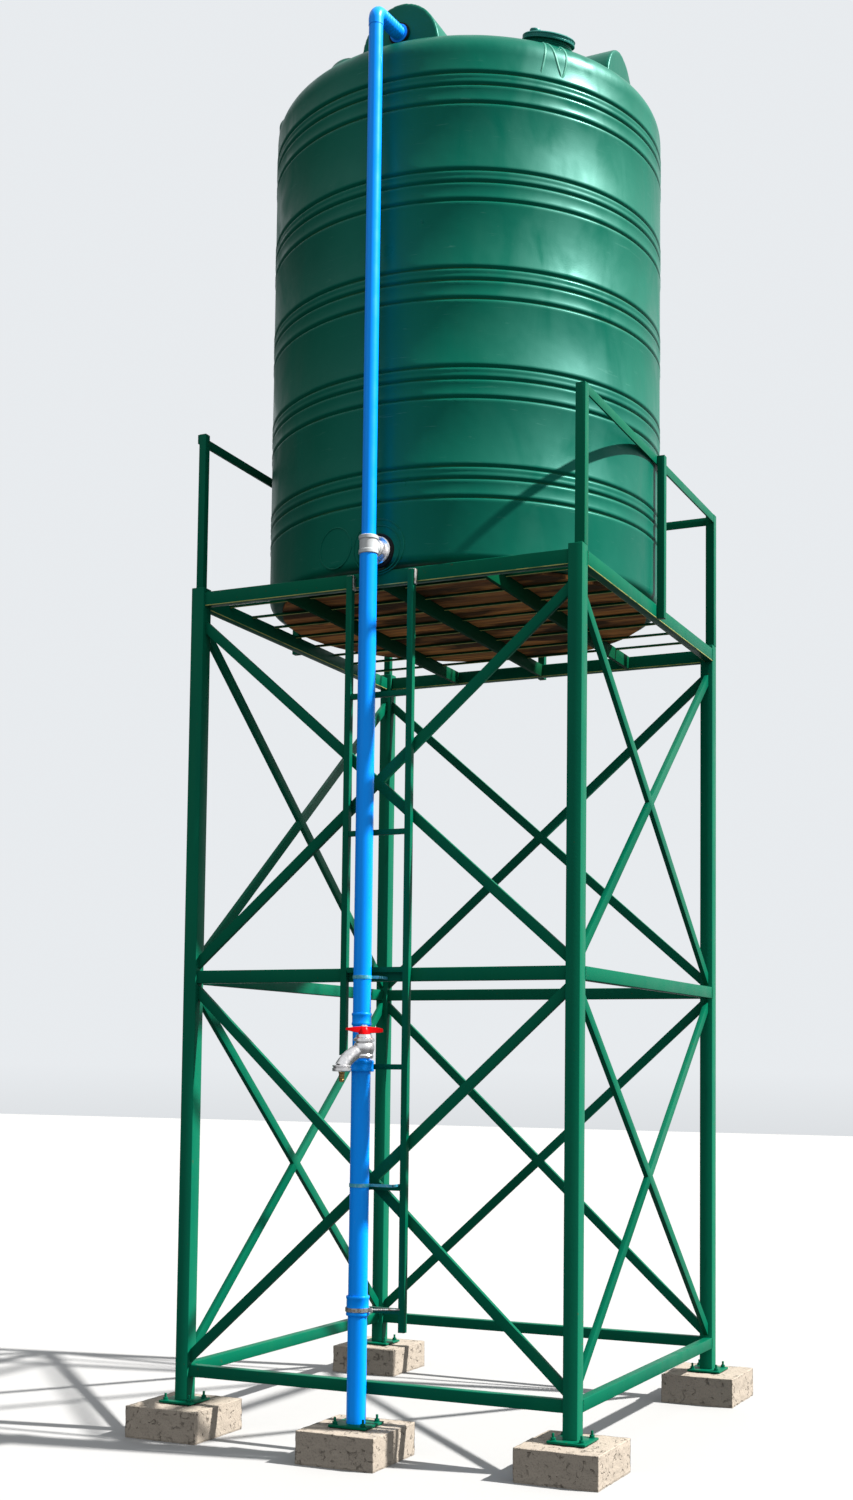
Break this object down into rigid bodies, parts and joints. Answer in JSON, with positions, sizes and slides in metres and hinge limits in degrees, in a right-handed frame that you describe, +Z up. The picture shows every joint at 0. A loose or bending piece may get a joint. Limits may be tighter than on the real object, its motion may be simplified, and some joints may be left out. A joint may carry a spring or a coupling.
{
  "type": "water tower",
  "caption": "Round green plastic tank on a cross-braced square-tube stand with guard rails, a ladder, a blue riser pipe with a red-handled tap, and concrete pads.",
  "frame": {"origin": "on the ground under the middle of the whole footprint", "axes": "+Z up, +Y from the ladder side to the back, +X along the ladder side"},
  "size_m": [2.525, 2.8612, 7.405],
  "materials": {
    "stand_paint": "satin green paint on steel tube",
    "tank_plastic": "moulded green plastic with a soft sheen",
    "lid_plastic": "darker moulded plastic",
    "pipe_plastic": "blue pressure pipe plastic",
    "grey_plastic": "light grey pipe fitting plastic",
    "bright_metal": "bright plated casting",
    "brass": "dull brass",
    "red_paint": "gloss red paint",
    "timber": "stained rough boards",
    "concrete": "rough cast concrete"
  },
  "bodies": {
    "tower": {"block_front_left": "concrete", "leg_front_left": "stand_paint", "block_front_right": "concrete", "leg_front_right": "stand_paint", "block_back_left": "concrete", "leg_back_left": "stand_paint", "block_back_right": "concrete", "leg_back_right": "stand_paint", "block_riser": "concrete", "riser_foot_plate": "stand_paint", "girt_front_bottom": "stand_paint", "girt_back_bottom": "stand_paint", "girt_left_bottom": "stand_paint", "girt_right_bottom": "stand_paint", "girt_front_middle": "stand_paint", "girt_back_middle": "stand_paint", "girt_left_middle": "stand_paint", "girt_right_middle": "stand_paint", "girt_front_top": "stand_paint", "girt_back_top": "stand_paint", "girt_left_top": "stand_paint", "girt_right_top": "stand_paint", "brace_front_lower": "stand_paint", "brace_front_upper": "stand_paint", "brace_back_lower": "stand_paint", "brace_back_upper": "stand_paint", "brace_left_lower": "stand_paint", "brace_left_upper": "stand_paint", "brace_right_lower": "stand_paint", "brace_right_upper": "stand_paint", "deck_grid": "stand_paint", "deck_boards": "timber", "guard_left": "stand_paint", "guard_right": "stand_paint", "guard_back": "stand_paint", "ladder": "stand_paint", "tank_base": "tank_plastic", "tank_wall_front_left": "tank_plastic", "tank_wall_front_right": "tank_plastic", "tank_wall_back_right": "tank_plastic", "tank_wall_back_left": "tank_plastic", "tank_roof": "tank_plastic", "riser_lower": "pipe_plastic", "riser_middle": "pipe_plastic", "outlet_tee": "grey_plastic", "outlet_fitting": "bright_metal", "riser_top": "pipe_plastic", "riser_bend": "pipe_plastic", "tap_body": "bright_metal", "tap_nozzle": "brass"},
    "tap_handle": {"tap_handle": "red_paint"},
    "tank_lid": {"tank_lid": "lid_plastic"}
  },
  "joints": [
    {"name": "tap_handle_turn", "type": "hinge", "parent": "tower", "child": "tap_handle", "pos_m": [0.0795, -1.2976, 2.05], "axis": [0, 0, 1], "range_deg": [0, 90]},
    {"name": "tank_lid_unscrew", "type": "hinge", "parent": "tower", "child": "tank_lid", "pos_m": [0.7032, -0.5696, 7.2135], "axis": [0.2516, -0.2066, 0.9455], "range_deg": [0, 270]}
  ]
}
